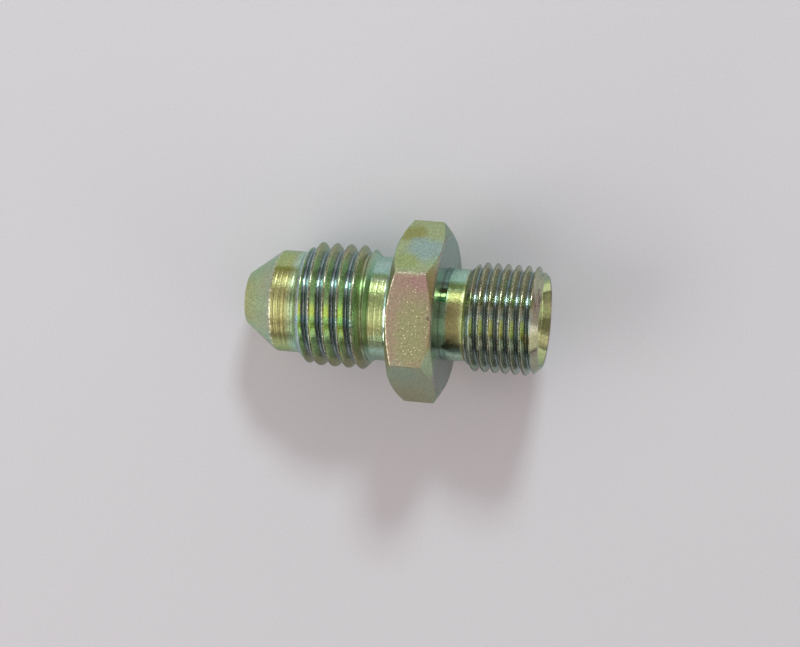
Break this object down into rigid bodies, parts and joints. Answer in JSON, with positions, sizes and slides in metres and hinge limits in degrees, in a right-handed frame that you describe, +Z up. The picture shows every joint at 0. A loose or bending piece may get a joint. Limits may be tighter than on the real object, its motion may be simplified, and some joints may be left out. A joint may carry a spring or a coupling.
{
  "type": "hydraulic adapter",
  "caption": "Straight steel hydraulic adapter: flare nose and thread on one side, hexagon in the middle, parallel pipe thread with an inner cone seat on the other, bored through.",
  "frame": {"origin": "middle of the bounding box, on the surface that the adapter lies on", "axes": "+X from the flare nose to the port end, level; +Z up. The adapter lies as it comes to rest, nose down, on its hexagon and its flare thread, so its own axis climbs from the nose to the port end"},
  "size_m": [0.0274, 0.0162, 0.0145],
  "materials": {
    "yellow_zinc_steel": "satin"
  },
  "bodies": {
    "root": {"adapter": "yellow_zinc_steel"}
  },
  "joints": []
}
